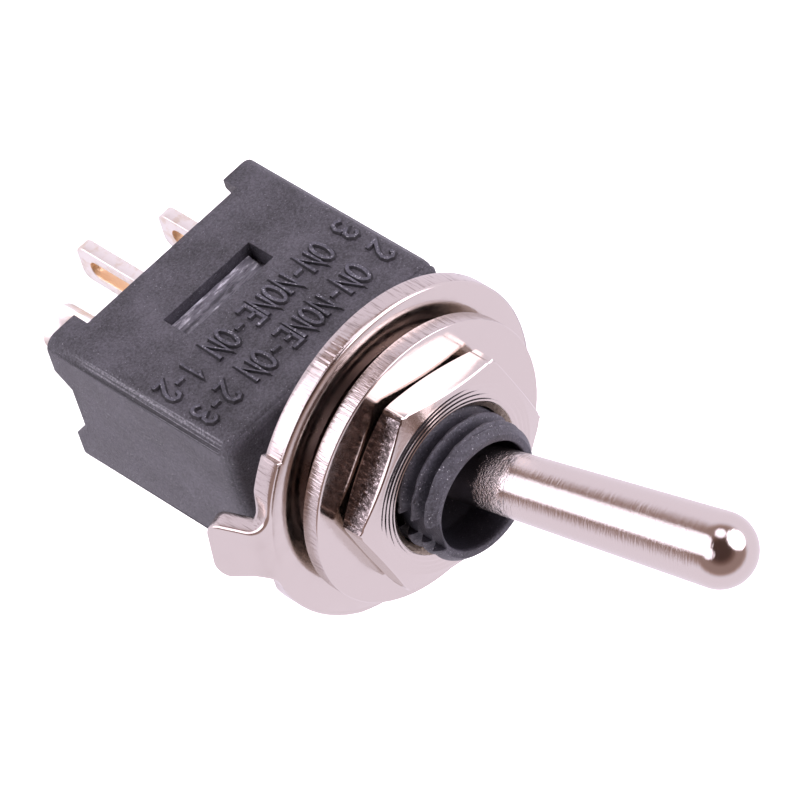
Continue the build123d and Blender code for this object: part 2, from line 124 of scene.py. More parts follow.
def finishPiece(name, mesh, materials, body, replaced, faceSlots=None, smoothAngle=35):
    for material in materials:
        mesh.materials.append(material)
    if faceSlots:
        mesh.polygons.foreach_set("material_index", faceSlots)
    mesh.polygons.foreach_set("use_smooth", [True] * len(mesh.polygons))
    mesh.set_sharp_from_angle(angle=math.radians(smoothAngle))
    mesh.update()
    piece = bpy.data.objects.new(name, mesh)
    bpy.context.scene.collection.objects.link(piece)
    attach(piece, body)
    if replaced:
        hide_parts(*replaced)
    return piece


def wrapped(columns, rows):
    # faces of a skin that closes round on itself, from its columns of points
    faces = []
    for i in range(columns):
        here, there = i * rows, (i + 1) % columns * rows
        faces += [(here + j, there + j, there + j + 1, here + j + 1) for j in range(rows - 1)]
    return faces


def lathe(profile, columns):
    # points and faces of a closed turned form; profile is (radius, height) from end to end
    points = []
    for i in range(columns):
        a = tau * i / columns
        points += [(r * math.cos(a), r * math.sin(a), z) for r, z in profile]
    return points, wrapped(columns, len(profile))


def arcPoints(centre, radius, start, end, steps):
    # points along an arc, degrees, both ends included
    turns = [math.radians(start + (end - start) * k / steps) for k in range(steps + 1)]
    return [(centre[0] + radius * math.cos(t), centre[1] + radius * math.sin(t)) for t in turns]


def rounded(corners, radii, steps=3):
    # open profile with its inner corners rounded
    made = [corners[0]]
    for k in range(1, len(corners) - 1):
        before, here, after = (Vector(corners[k + d]) for d in (-1, 0, 1))
        back, on = (before - here), (after - here)
        wanted = radii[k] if isinstance(radii, list) else radii
        reach = min(wanted, back.length * 0.45, on.length * 0.45)
        first, last = here + back.normalized() * reach, here + on.normalized() * reach
        for s in range(steps + 1):
            t = s / steps
            made.append(tuple(first * (1 - t) ** 2 + here * 2 * t * (1 - t) + last * t * t))
    return made + [corners[-1]]


def sliced(work, z, clear=False):
    # cuts all faces at a height, and drops what is above it if asked
    everything = work.verts[:] + work.edges[:] + work.faces[:]
    bmesh.ops.bisect_plane(work, geom=everything, plane_co=(0, 0, z * mm), plane_no=(0, 0, 1),
                           clear_outer=clear)


def softCopy(node, edgeRadius, cutAbove=None, edgeSlot=0, reshape=None):
    # mesh of a CAD node with its flat faces joined up again and its sharp edges broken
    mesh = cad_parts[node].data.copy()
    work = bmesh.new()
    work.from_mesh(mesh)
    bmesh.ops.remove_doubles(work, verts=work.verts, dist=0.0005 * mm)
    if cutAbove is not None:
        sliced(work, cutAbove, clear=True)
    if reshape:
        reshape(work)
    bmesh.ops.dissolve_limit(work, angle_limit=math.radians(1.0), verts=work.verts, edges=work.edges)
    sharp = [e for e in work.edges if len(e.link_faces) == 2 and e.calc_face_angle(0) > math.radians(40)]
    broken = bmesh.ops.bevel(work, geom=sharp, offset=edgeRadius * mm, segments=2, profile=0.5,
                             affect="EDGES", clamp_overlap=True)
    for face in work.faces:
        face.material_index = 0
    for face in broken["faces"]:
        face.material_index = edgeSlot
    bmesh.ops.triangulate(work, faces=[f for f in work.faces if len(f.verts) > 4])
    work.to_mesh(mesh)
    work.free()
    mesh.materials.clear()
    return mesh


print("frame loaded")


# what the pieces that set their material's pattern are made to, millimetres and degrees

lever = {"pivotZ": 1.04, "lean": 13.2, "tipDistance": 11.6, "tipRadius": 1.27, "neckDistance": 3.4,
         "neckRadius": 1.07, "ballRadius": 1.68, "stemRadius": 0.85, "stemEnd": 4.7, "boreRadius": 0.55,
         "boreEnd": 1.95, "frostTop": 4.4, "frostFoot": 3.45, "columns": 160}

ring = {"thickness": 0.735, "radius": 5.88, "shoulder": 6.1, "hole": 2.6, "turn": -5, "bendX": 5.65,
        "bendRadius": 0.95, "bendAngle": 69, "leg": 1.39, "cornerRadius": 0.55, "keyHalf": 0.35,
        "keyTip": 2.24, "roll": 0.12, "gridMm": 0.1,
        "plusY": {"tabTip": 1.22, "tabRoot": 0.95, "fillet": 0.85, "shoulderEnd": 60, "fade": 24},
        "minusY": {"tabTip": 1.15, "tabRoot": 1.15, "fillet": 0.75, "shoulderEnd": 34, "fade": 0.2}}

nut = {"z": 1.90, "height": 1.24, "acrossFlats": 7.2, "turn": -13.7, "faceShare": 0.955,
       "chamferAngle": 17, "countersink": 0.22, "bore": 2.505, "cornerRadius": 0.12, "ringPitch": 0.17,
       "ringDepth": 0.03, "ringReach": 0.85, "faceSteps": 90, "columnsPerSide": 36}


# materials, each named for what it is and how its surface was made; those that also carry painted light
# or shade say so

def grainOf(sizeMm, detail=3.0, roughness=0.6):
    # noise settings for a grain of a real size
    return {"Scale": 1 / (sizeMm * mm), "Detail": detail, "Roughness": roughness}


def between(start, full, low=0.0, high=1.0, curve="SMOOTHSTEP"):
    # range settings: low before start, high past full
    return {"interpolation_type": curve, "From Min": start, "From Max": full,
            "To Min": low, "To Max": high}


def fromAxis(tree, place):
    # distance from the bush's axis
    flat = addNode(tree, "VectorMath", {"operation": "MULTIPLY", 1: (1, 1, 0)}, {0: place}, 0)
    return addNode(tree, "VectorMath", {"operation": "LENGTH"}, {0: flat}, "Value")


def flatWay(degrees):
    # direction at a turn about the bush's axis
    return (math.cos(math.radians(degrees)), math.sin(math.radians(degrees)), 0)


# the last four entries place the painted edge highlight and painted shade line by the normal's direction
blackPlastic = {"grainMm": 0.085, "grainDepthMm": 0.035, "fleckMm": 0.06, "cloudMm": 1.4, "ior": 1.55,
                "shadeLineFacing": (0.94, 0.34, 0), "highlightLineFacing": (0.64, 0.77, 0), "bandStart": 0.975,
                "bandFull": 0.995}

# painted shade in the bush's hollows: radii where it starts and is full, the height it stays below, the
# keyway it fills, its share, colour and the specular left in it
hollowShadeLook = {"shadeStart": 2.42, "shadeFull": 2.12, "rim": 4.36, "share": 0.8, "colour": "#232228", "keyHalf": 0.6,
           "keyFoot": 1.96, "shine": 0.2}

def paintEdgeHighlightAndShade(tree, skin, glass, dark, fleck):
    # painted highlight and painted shade on the upright edges: where the normal passes one direction a
    # pale line, broken up by the glass flecks, and just round the corner a dark line
    look = blackPlastic
    normal = addNode(tree, "TexCoord", out="Normal")
    folded = addNode(tree, "VectorMath", {"operation": "ABSOLUTE"}, {0: normal}, 0)
    band = between(look["bandStart"], look["bandFull"])
    facing = [addNode(tree, "VectorMath", {"operation": "DOT_PRODUCT", 1: look[k]}, {0: folded}, "Value")
              for k in ("shadeLineFacing", "highlightLineFacing")]
    shadeLine, highlightLine = (addNode(tree, "MapRange", band, {"Value": f}, "Result") for f in facing)
    share = addNode(tree, "Math", {"operation": "MULTIPLY", 1: 0.85}, {0: shadeLine}, 0)
    skin = addNode(tree, "Mix", {"data_type": "RGBA", 7: toLinear(dark)}, {0: share, 6: skin}, 2)
    broken = addNode(tree, "ValToRGB", {"EASE": [(0.35, 0.1), (0.65, 0.6)]}, {"Fac": glass}, "Color")
    share = addNode(tree, "Math", {"operation": "MULTIPLY"}, {0: highlightLine, 1: broken}, 0)
    return addNode(tree, "Mix", {"data_type": "RGBA", 7: toLinear(fleck)}, {0: share, 6: skin}, 2)


def paintHollowShade(tree, skin, shader, place):
    # painted shade: the bore, the thread's roots below the rim and the keyway's floor are mixed towards
    # a dark grey and their specular is lowered
    h = hollowShadeLook
    x, y, z = addNode(tree, "SeparateXYZ", {}, {0: place}).outputs
    inner = addNode(tree, "MapRange", between(h["shadeStart"] * mm, h["shadeFull"] * mm),
                    {"Value": fromAxis(tree, place)}, "Result")
    under = addNode(tree, "MapRange", between(h["rim"] * mm, (h["rim"] - 0.12) * mm, 0, h["share"]),
                    {"Value": z}, "Result")
    aside = addNode(tree, "Math", {"operation": "ABSOLUTE"}, {0: y}, 0)
    inKey = addNode(tree, "MapRange", between((h["keyHalf"] + 0.08) * mm, h["keyHalf"] * mm,
                                              curve="LINEAR"), {"Value": aside}, "Result")
    ahead = addNode(tree, "MapRange", between(h["keyFoot"] * mm, (h["keyFoot"] + 0.05) * mm, 0,
                                              h["share"], "LINEAR"), {"Value": x}, "Result")
    key = addNode(tree, "Math", {"operation": "MULTIPLY"}, {0: inKey, 1: ahead}, 0)
    either = addNode(tree, "Math", {"operation": "MAXIMUM"}, {0: under, 1: key}, 0)
    deep = addNode(tree, "Math", {"operation": "MULTIPLY"}, {0: inner, 1: either}, 0)
    dull = addNode(tree, "MapRange", between(0, 1, 0.5, h["shine"], "LINEAR"), {"Value": deep}, "Result")
    tree.links.new(dull, shader.inputs["Specular IOR Level"])
    return addNode(tree, "Mix", {"data_type": "RGBA", 7: toLinear(h["colour"])}, {0: deep, 6: skin}, 2)


def mouldedBlackPlastic(name, dark, light, fleck, roughness, fleckStart, edges=False, hollowShade=False):
    # glass-filled thermoset, compression moulded: a dry satin black with an even grain; the glass that
    # reaches the skin shows as pale flecks, so a broad light makes it a speckled dark grey
    look = blackPlastic
    material, tree, shader, place = newMaterial(name, dark, 0.0, roughness, {"IOR": look["ior"]})
    grain = addNode(tree, "TexNoise", grainOf(look["grainMm"], 4.0, 0.7), {"Vector": place}, "Fac")
    cloud = addNode(tree, "TexNoise", grainOf(look["cloudMm"], 4.0), {"Vector": place}, "Fac")
    glass = addNode(tree, "TexNoise", grainOf(look["fleckMm"], 2.0), {"Vector": place}, "Fac")
    addNode(tree, "Bump", {"Distance": look["grainDepthMm"] * mm}, {"Height": grain}, "Normal",
            into=shader.inputs["Normal"])
    mottle = addNode(tree, "Math", {"operation": "MULTIPLY_ADD", 1: 1.6}, {0: grain, 2: cloud}, 0)
    spread = addNode(tree, "MapRange", between(0.95, 1.65, curve="LINEAR"), {"Value": mottle}, "Result")
    skin = addNode(tree, "ValToRGB", {"LINEAR": [(0.0, dark), (1.0, light)]}, {"Fac": spread}, "Color")
    # edges adds the painted edge highlight and the painted shade line
    if edges:
        skin = paintEdgeHighlightAndShade(tree, skin, glass, dark, fleck)
    share = addNode(tree, "ValToRGB", {"EASE": [(fleckStart, 0.0), (fleckStart + 0.08, 1.0)]},
                    {"Fac": glass}, "Color")
    skin = addNode(tree, "Mix", {"data_type": "RGBA", 7: toLinear(fleck)}, {0: share, 6: skin}, 2)
    # hollowShade paints shade into the bush's hollows
    if hollowShade:
        skin = paintHollowShade(tree, skin, shader, place)
    tree.links.new(skin, shader.inputs["Base Color"])
    rough = {"EASE": [(0.3, roughness - 0.05), (0.7, roughness + 0.08)]}
    addNode(tree, "ValToRGB", rough, {"Fac": cloud}, "Color", into=shader.inputs["Roughness"])
    return material


nickel = {"plate": "#d4ccc5", "polished": 0.11, "frosted": 0.2}

def turnedLeverNickel():
    # turned brass, nickel plated: the barrel is buffed round to a mirror that shows the wheel's fine
    # streaks, and a band of the neck keeps the frosted, sparkling skin that the wheel didn't reach
    material, tree, shader, place = newMaterial("nickel_plated_brass_buffed", nickel["plate"], 1.0,
                                                nickel["polished"])
    lean = math.radians(lever["lean"])
    axis = (-math.sin(lean), 0, math.cos(lean))
    height = addNode(tree, "VectorMath", {"operation": "DOT_PRODUCT", 1: axis}, {0: place}, "Value")
    offset = lever["pivotZ"] * math.cos(lean) * mm
    frostTop, frostFoot = (offset + lever[k] * mm for k in ("frostTop", "frostFoot"))
    wander = addNode(tree, "TexNoise", grainOf(0.3), {"Vector": place}, "Fac")
    ragged = addNode(tree, "Math", {"operation": "MULTIPLY_ADD", 1: 0.9 * mm}, {0: wander, 2: height}, 0)
    below = addNode(tree, "MapRange", between(frostTop + 0.25 * mm, frostTop - 0.25 * mm),
                    {"Value": ragged}, "Result")
    above = addNode(tree, "MapRange", between(frostFoot - 0.2 * mm, frostFoot + 0.2 * mm),
                    {"Value": ragged}, "Result")
    frost = addNode(tree, "Math", {"operation": "MULTIPLY"}, {0: below, 1: above}, 0)
    sparkle = addNode(tree, "TexNoise", grainOf(0.08), {"Vector": place}, "Fac")
    speck = addNode(tree, "Math", {"operation": "MULTIPLY"}, {0: sparkle, 1: frost}, 0)
    # streaks: noise squeezed along the axis, which fades on the tip
    push = addNode(tree, "VectorMath", {"operation": "SCALE", 0: axis}, {"Scale": height}, 0)
    squeezed = addNode(tree, "VectorMath", {"operation": "MULTIPLY_ADD", 1: (6, 6, 6)},
                       {0: push, 2: place}, 0)
    tip = lever["tipDistance"] * mm
    onTip = addNode(tree, "MapRange", between(offset + tip - 0.6 * mm, offset + tip, 1.0, 0.3, "LINEAR"),
                    {"Value": height}, "Result")
    wheel = addNode(tree, "TexNoise", grainOf(0.5, 4.0), {"Vector": squeezed}, "Fac")
    fine = addNode(tree, "Math", {"operation": "MULTIPLY"}, {0: wheel, 1: onTip}, 0)
    streaks = addNode(tree, "Bump", {"Distance": 0.012 * mm}, {"Height": fine}, "Normal")
    addNode(tree, "Bump", {"Distance": 0.05 * mm}, {"Height": speck, "Normal": streaks}, "Normal",
            into=shader.inputs["Normal"])
    addNode(tree, "MapRange", between(0, 1, nickel["polished"], nickel["frosted"], "LINEAR"),
            {"Value": frost}, "Result", into=shader.inputs["Roughness"])
    return material


def rolledNickel(name, roughness, waveDepth, colour=nickel["plate"], dishStart=0.0, dishEnd=0.0,
                 dishSlope=0.0):
    # blanked steel strip, rolled bright and nickel plated: a soft mirror that waves a little; where the
    # die dragged the blank's outer zone down, the mirror tips outward
    material, tree, shader, place = newMaterial(name, colour, 1.0, roughness)
    waves = addNode(tree, "TexNoise", grainOf(1.6, 1.0), {"Vector": place}, "Fac")
    pits = addNode(tree, "TexNoise", grainOf(0.12, 2.0), {"Vector": place}, "Fac")
    normal = addNode(tree, "Bump", {"Distance": waveDepth * mm}, {"Height": waves}, "Normal")
    if dishSlope:
        run = addNode(tree, "MapRange", between(dishStart * mm, dishEnd * mm, curve="LINEAR"),
                      {"Value": fromAxis(tree, place)}, "Result")
        fall = addNode(tree, "Math", {"operation": "MULTIPLY"}, {0: run, 1: run}, 0)
        drop = addNode(tree, "Math", {"operation": "SUBTRACT", 0: 1.0}, {1: fall}, 0)
        depth = dishSlope * (dishEnd - dishStart) / 2
        normal = addNode(tree, "Bump", {"Distance": depth * mm}, {"Height": drop, "Normal": normal},
                         "Normal")
    addNode(tree, "Bump", {"Distance": 0.0022 * mm}, {"Height": pits, "Normal": normal}, "Normal",
            into=shader.inputs["Normal"])
    cloud = addNode(tree, "TexNoise", grainOf(0.7), {"Vector": place}, "Fac")
    rough = {"EASE": [(0.3, roughness - 0.04), (0.75, roughness + 0.06)]}
    addNode(tree, "ValToRGB", rough, {"Fac": cloud}, "Color", into=shader.inputs["Roughness"])
    return material


def shearedEdge(name, markDepth, patchTurn, patchDepth):
    # the rim left by the blanking punch: burnished, with faint upright draw marks, and one patch of deep
    # chatter marks that look like dark teeth
    material, tree, shader, place = newMaterial(name, nickel["plate"], 1.0, 0.2)
    upright, longer = (addNode(tree, "Mapping", {"Scale": (1, 1, s)}, {"Vector": place}, 0)
                       for s in (0.1, 0.04))
    marks = addNode(tree, "TexNoise", grainOf(0.1), {"Vector": upright}, "Fac")
    chatter = addNode(tree, "TexNoise", grainOf(0.2, 1.0), {"Vector": longer}, "Fac")
    start, full = (ring["radius"] * math.cos(math.radians(d)) * mm for d in (9, 4))
    facing = addNode(tree, "VectorMath", {"operation": "DOT_PRODUCT", 1: flatWay(patchTurn)}, {0: place},
                     "Value")
    patch = addNode(tree, "MapRange", between(start, full), {"Value": facing}, "Result")
    teeth = addNode(tree, "Math", {"operation": "MULTIPLY"}, {0: chatter, 1: patch}, 0)
    first = addNode(tree, "Bump", {"Distance": markDepth * mm}, {"Height": marks}, "Normal")
    addNode(tree, "Bump", {"Distance": patchDepth * mm}, {"Height": teeth, "Normal": first}, "Normal",
            into=shader.inputs["Normal"])
    tone = {"EASE": [(0.3, "#aea49e"), (0.5, "#cfc6c0")]}
    addNode(tree, "ValToRGB", tone, {"Fac": marks}, "Color", into=shader.inputs["Base Color"])
    return material


def hexStock():
    # drawn hexagon bar, nickel plated: bright flats, one of them torn and pitted by the chuck; the marks
    # stop short of that flat's two long edges
    material, tree, shader, place = newMaterial("nickel_plated_hexagon_bar", nickel["plate"], 1.0, 0.16)
    tornWay = flatWay(nut["turn"] - 30)
    facing = addNode(tree, "VectorMath", {"operation": "DOT_PRODUCT", 1: tornWay}, {0: place}, "Value")
    torn = addNode(tree, "MapRange", between(3.5 * mm, 3.58 * mm, 0.06), {"Value": facing}, "Result")
    squashed = addNode(tree, "Mapping", {"Scale": (1, 1, 0.45)}, {"Vector": place}, 0)
    marks = addNode(tree, "TexNoise", grainOf(0.12, 4.0, 0.7), {"Vector": squashed}, "Fac")
    height = addNode(tree, "SeparateXYZ", {}, {0: place}, "Z")
    middle = (nut["z"] + nut["height"] / 2 - 0.03) * mm
    away = addNode(tree, "Math", {"operation": "SUBTRACT", 1: middle}, {0: height}, 0)
    away = addNode(tree, "Math", {"operation": "ABSOLUTE"}, {0: away}, 0)
    inside = addNode(tree, "MapRange", between(0.5 * mm, 0.44 * mm), {"Value": away}, "Result")
    torn = addNode(tree, "Math", {"operation": "MULTIPLY"}, {0: torn, 1: inside}, 0)
    deep = addNode(tree, "Math", {"operation": "MULTIPLY"}, {0: marks, 1: torn}, 0)
    addNode(tree, "Bump", {"Distance": 0.022 * mm}, {"Height": deep}, "Normal",
            into=shader.inputs["Normal"])
    tone = {"EASE": [(0.38, "#5d5653"), (0.55, "#958c88"), (0.66, "#e6deda")]}
    pitted = addNode(tree, "ValToRGB", tone, {"Fac": marks}, "Color")
    addNode(tree, "Mix", {"data_type": "RGBA", 6: toLinear(nickel["plate"])}, {0: torn, 7: pitted}, 2,
            into=shader.inputs["Base Color"])
    return material


def silverPlate():
    # pressed brass, silver plated: creamy white, softly frosted by stamping
    material, tree, shader, place = newMaterial("silver_plated_brass_pressed", "#f0ebe2", 1.0, 0.34)
    dents, tarnish = (addNode(tree, "TexNoise", grainOf(size), {"Vector": place}, "Fac")
                      for size in (0.35, 0.5))
    addNode(tree, "Bump", {"Distance": 0.012 * mm}, {"Height": dents}, "Normal",
            into=shader.inputs["Normal"])
    tone = {"EASE": [(0.3, "#e6dac8"), (0.55, "#f4f0e9")]}
    addNode(tree, "ValToRGB", tone, {"Fac": tarnish}, "Color", into=shader.inputs["Base Color"])
    return material


def phenolicBase():
    # moulded phenolic: grey streaks along the window, and the tone raised towards the rear from z −7.0
    # mm
    material, tree, shader, place = newMaterial("phenolic_moulded_streaked", "#5a5856", 0.0, 0.6,
                                                {"IOR": 1.6})
    lengthwise = addNode(tree, "Mapping", {"Scale": (0.22, 1, 1)}, {"Vector": place}, 0)
    streaks = addNode(tree, "TexNoise", grainOf(0.14, 4.0, 0.65), {"Vector": lengthwise}, "Fac")
    height = addNode(tree, "SeparateXYZ", {}, {0: place}, "Z")
    paleRear = addNode(tree, "MapRange", between(-7.0 * mm, -7.5 * mm, 0, 0.16, "LINEAR"),
                      {"Value": height}, "Result")
    tone = addNode(tree, "Math", {"operation": "ADD"}, {0: streaks, 1: paleRear}, 0)
    addNode(tree, "Bump", {"Distance": 0.05 * mm}, {"Height": streaks}, "Normal",
            into=shader.inputs["Normal"])
    greys = {"EASE": [(0.35, "#39393f"), (0.58, "#706f77"), (0.8, "#d8d8df")]}
    addNode(tree, "ValToRGB", greys, {"Fac": tone}, "Color", into=shader.inputs["Base Color"])
    return material


def fineGrained(name, colour, metallic, roughness, sizeMm, depthMm, detail=3.0, more=None):
    # a plain finish with one fine grain
    material, tree, shader, place = newMaterial(name, colour, metallic, roughness, more)
    grain = addNode(tree, "TexNoise", grainOf(sizeMm, detail), {"Vector": place}, "Fac")
    addNode(tree, "Bump", {"Distance": depthMm * mm}, {"Height": grain}, "Normal",
            into=shader.inputs["Normal"])
    return material


# the case's skin carries the painted edge highlight and shade line
bodySkin = mouldedBlackPlastic("thermoset_black_moulded", "#18181c", "#4e4c54", "#95949c", 0.47, 0.66,
                               edges=True)
# a paler copy of the moulding, put on the case's broken edges
paleEdgeSkin = mouldedBlackPlastic("thermoset_black_pale_edge", "#28282d", "#605e66", "#a9a8b0", 0.5, 0.6)
# the thread's skin carries painted shade in its hollows
threadSkin = mouldedBlackPlastic("thermoset_black_thread", "#19181e", "#4d4c55", "#b4b2ba", 0.4, 0.66,
                                 hollowShade=True)
# the marking's top takes a slightly lighter copy of the moulding and its sides a darker copy, which is
# painted shade on the slopes
markTopSkin = mouldedBlackPlastic("thermoset_black_mark_top", "#1c1c23", "#52515c", "#a9a8b0", 0.45,
                                  0.62)
markShadedSideSkin = mouldedBlackPlastic("thermoset_black_mark_side_shaded", "#0b0b0e", "#26252a", "#aaa6ae", 0.6,
                                   0.72)
leverSkin = turnedLeverNickel()
nutFlatSkin = hexStock()
ringSkin = rolledNickel("nickel_plated_steel_blanked", 0.17, 0.006, nickel["plate"], 5.0, 5.88, 0.36)
washerSkin = rolledNickel("nickel_plated_steel_washer", 0.14, 0.004)
# the tooth washer's spring steel is darker than the nickel parts, and that darkness is partly painted
# shade for the gap between the ring and the flat washer
toothSteelAndGapShadeSkin = rolledNickel("spring_steel_darkened_gap_shade", 0.3, 0.004, "#857a76")
ringEdgeSkin = shearedEdge("nickel_plated_steel_sheared", 0.006, -78, 0.05)
washerEdgeSkin = shearedEdge("nickel_plated_steel_sheared_rough", 0.03, -78, 0.0)
lugSkin = silverPlate()
baseSkin = phenolicBase()

# the nut's faced end: bright, with the turning marks under the plating
nutFaceSkin = fineGrained("nickel_plated_brass_turned", nickel["plate"], 1.0, 0.15, 0.15, 0.003, 2.0)
# the first turns of the tapped hole, where the plating is thin: glittering, faintly gold
nutThreadSkin = fineGrained("brass_tapped_thin_plate", "#cfc0ae", 1.0, 0.3, 0.12, 0.05)
# the punched eyelet cuts through the plating and shows the copper alloy
eyeletSkin = fineGrained("bare_copper_alloy_punched", "#fbdcb4", 1.0, 0.55, 0.08, 0.02)
# black potting resin: smooth, with a shallow meniscus gloss
resinSkin = fineGrained("epoxy_poured_black", "#191817", 0.0, 0.2, 1.2, 0.03, 1.0, {"IOR": 1.55})
# unfilled acetal and nylon, injection moulded: milky, slightly waxy
milky = {"IOR": 1.48, "Subsurface Weight": 0.1, "Subsurface Scale": 0.5 * mm}
retainerSkin = fineGrained("acetal_moulded_natural", "#d8d2c4", 0.0, 0.4, 0.3, 0.006, 3.0, milky)
plungerSkin = fineGrained("nylon_moulded_natural", "#e2dccb", 0.0, 0.35, 0.3, 0.006, 3.0, milky)
# hard drawn spring wire: dull steel with die lines
springSkin = fineGrained("spring_steel_drawn", "#9c9a98", 1.0, 0.3, 0.03, 0.003)
print("materials made")


# toggle lever: turned from bar about an axis leant over with the throw

def leverProfile():
    # (radius, distance from the pivot), from the tip down round the hollow stem and up its bore
    t = lever
    shrink = (t["tipRadius"] - t["neckRadius"]) / (t["tipDistance"] - t["neckDistance"])
    taper = math.degrees(math.atan(shrink))
    profile = arcPoints((0, t["tipDistance"]), t["tipRadius"], 89.9, -taper, 36)
    top, neck = profile[-1], (t["neckRadius"], t["neckDistance"])
    profile += [(top[0] + (neck[0] - top[0]) * k / 40,
                 top[1] + (neck[1] - top[1]) * k / 40) for k in range(1, 40)]
    ballTop = math.degrees(math.acos(t["neckRadius"] / t["ballRadius"]))
    ballFoot = -math.degrees(math.acos(t["stemRadius"] / t["ballRadius"]))
    profile += rounded([neck, (t["neckRadius"], t["ballRadius"] * math.sin(math.radians(ballTop)))], 0)
    profile += arcPoints((0, 0), t["ballRadius"], ballTop, ballFoot, 28)
    return profile + rounded([(t["stemRadius"], -2), (t["stemRadius"], -t["stemEnd"]),
                              (t["boreRadius"], -t["stemEnd"]), (t["boreRadius"], -t["boreEnd"]),
                              (0.01, -t["boreEnd"] + 0.3)], 0.08)


def makeLever():
    turn = Matrix.Rotation(-math.radians(lever["lean"]), 4, "Y")
    lean = Matrix.Translation((0, 0, lever["pivotZ"])) @ turn
    points, faces = lathe(leverProfile(), lever["columns"])
    return addPiece("batLever", [lean @ Vector(p) for p in points], faces, [leverSkin], "lever",
                    ["toggle_lever"], None, 50)


makeLever()
print("lever made")


# bush: moulded thread with a soft crest, keyway, rim and the bore down to the ball's seat

bush = {"length": 4.45, "crest": 2.475, "root": 2.04, "pitch": 0.6, "rimRadius": 2.2, "rimHeight": 0.25,
        "bore": 1.95, "mouthZ": 2.95, "throat": 1.42, "seat": 1.72, "keyHalf": 0.575, "keyFloor": 2.03,
        "chipStart": 12, "chipDegrees": 14, "chipMm": 0.16, "sharpness": 0.9, "waver": 0.16,
        "lipMm": 0.15, "lipCurve": 1.6, "rootAngle": 0.26, "lowZ": -0.05, "columns": 288,
        "rowsPerPitch": 18}

def threadRadius(a, z):
    # rounded crest and a narrower root, chipped beside the keyway and turned off by the rim's chamfer
    t = bush
    phase = (z / t["pitch"] - a / tau) % 1.0
    wave = (0.5 + 0.5 * math.cos(tau * phase)) ** t["sharpness"]
    around = Vector((math.cos(a) * 2.4, math.sin(a) * 2.4, z))
    wave *= 1 - t["waver"] * noise.noise(around * 2.3)
    fromKey = math.degrees(min(a % tau, tau - a % tau))
    chip = max(0.0, 1 - (fromKey - t["chipStart"]) / t["chipDegrees"])
    full = t["root"] + (t["crest"] - t["root"]) * min(1.0, wave)
    full -= t["chipMm"] * chip * max(0.0, noise.noise(around * 4.1) + 0.25)
    rimStart = t["length"] - t["rimHeight"]
    if z > rimStart - t["lipMm"]:
        share = min(1, (z - rimStart + t["lipMm"]) / (t["rimHeight"] + t["lipMm"]))
        limit = t["crest"] - (t["crest"] - t["rimRadius"]) * share ** t["lipCurve"]
        band = min(1, max(0, (z - rimStart + 0.1) / 0.1))
        full = min(full * (1 - band) + limit * band, limit)
    return max(full, t["keyFloor"] + 0.015)


def keyEdge(radius):
    # half the keyway's width where it meets a skin of this radius
    t = bush
    if radius <= t["keyFloor"]:
        return radius * math.sin(t["rootAngle"])
    return max(0.02, min(t["keyHalf"], math.sqrt(radius ** 2 - t["keyFloor"] ** 2)))


def boreProfile():
    # from the rim down the bore and the throat to the ball's seat
    t = bush
    centreZ = lever["pivotZ"]
    throatZ = centreZ + math.sqrt(t["seat"] ** 2 - t["throat"] ** 2)
    inside = rounded([(t["rimRadius"] - 0.02, t["length"]), (t["bore"], t["length"]),
                      (t["bore"], t["mouthZ"]), (t["throat"], throatZ)], 0.07)
    inside += [(t["seat"] * math.cos(math.radians(d)), centreZ + t["seat"] * math.sin(math.radians(d)))
               for d in (30, 15, 0)]
    return inside + [(t["seat"], 0.5), (t["seat"], t["lowZ"])]


def makeBush():
    t = bush
    low = t["lowZ"]
    steps = int((t["length"] - low) / t["pitch"] * t["rowsPerPitch"])
    heights = [low + (t["length"] - low) * k / steps for k in range(steps + 1)]
    inside = boreProfile()
    columns = []
    for k in range(t["columns"]):
        share = k / (t["columns"] - 1)
        nominal = t["rootAngle"] + (tau - 2 * t["rootAngle"]) * share
        column = []
        for r, z in [(threadRadius(nominal, z), z) for z in heights] + inside:
            start = math.asin(keyEdge(r) / r)
            a = start + (tau - 2 * start) * share
            column.append((r * math.cos(a), r * math.sin(a), z))
        columns.append(column)
    # the keyway's floor joins the last column to the first
    first, last = columns[0], columns[-1]
    for share in (0.0, 0.25, 0.5, 0.75, 1.0):
        floor = []
        for there, here in zip(first, last):
            y = here[1] + (there[1] - here[1]) * share
            if math.hypot(here[0], here[1]) > t["keyFloor"]:
                x = min(t["keyFloor"], here[0])
            else:
                x = math.sqrt(here[0] ** 2 + here[1] ** 2 - y * y)
            floor.append((x, y, here[2]))
        columns.append(floor)
    points = [p for column in columns for p in column]
    return addPiece("threadedBush", points, wrapped(len(columns), len(columns[0])), [threadSkin], "base",
                    ["housing"], None, 40)


makeBush()


# body: the moulded case below the bush, with its edges softly broken

case = {"edgeMm": 0.06, "halfX": 4.95, "halfY": 3.0, "cornerRadius": 0.5, "brow": 0.6, "frontZ": -1.6,
        "footX": 3.7, "footZ": -10.2, "footEndY": 1.55, "footSideY": 2.6}

def wornMould(work):
    # rounds the front edges and lets the notches between the feet flare
    t = case
    for share in (1.0, 0.7, 0.45, 0.25, 0.1):
        sliced(work, t["frontZ"] - share * t["brow"])
    for vert in work.verts:
        x, y, z = vert.co / mm
        inX = abs(x) - t["halfX"] + t["cornerRadius"]
        inY = abs(y) - t["halfY"] + t["cornerRadius"]
        out = math.hypot(max(inX, 0), max(inY, 0))
        down = t["frontZ"] - z
        if down < t["brow"] and out > t["cornerRadius"] - 0.02:
            back = t["brow"] - math.sqrt(t["brow"] ** 2 - (t["brow"] - max(down, 0)) ** 2)
            x -= math.copysign(back * max(inX, 0) / out, x)
            y -= math.copysign(back * max(inY, 0) / out, y)
        if z < t["footZ"]:
            y = math.copysign(max(abs(y), t["footEndY"] if abs(x) > t["footX"] else t["footSideY"]), y)
        vert.co = Vector((x, y, z)) * mm


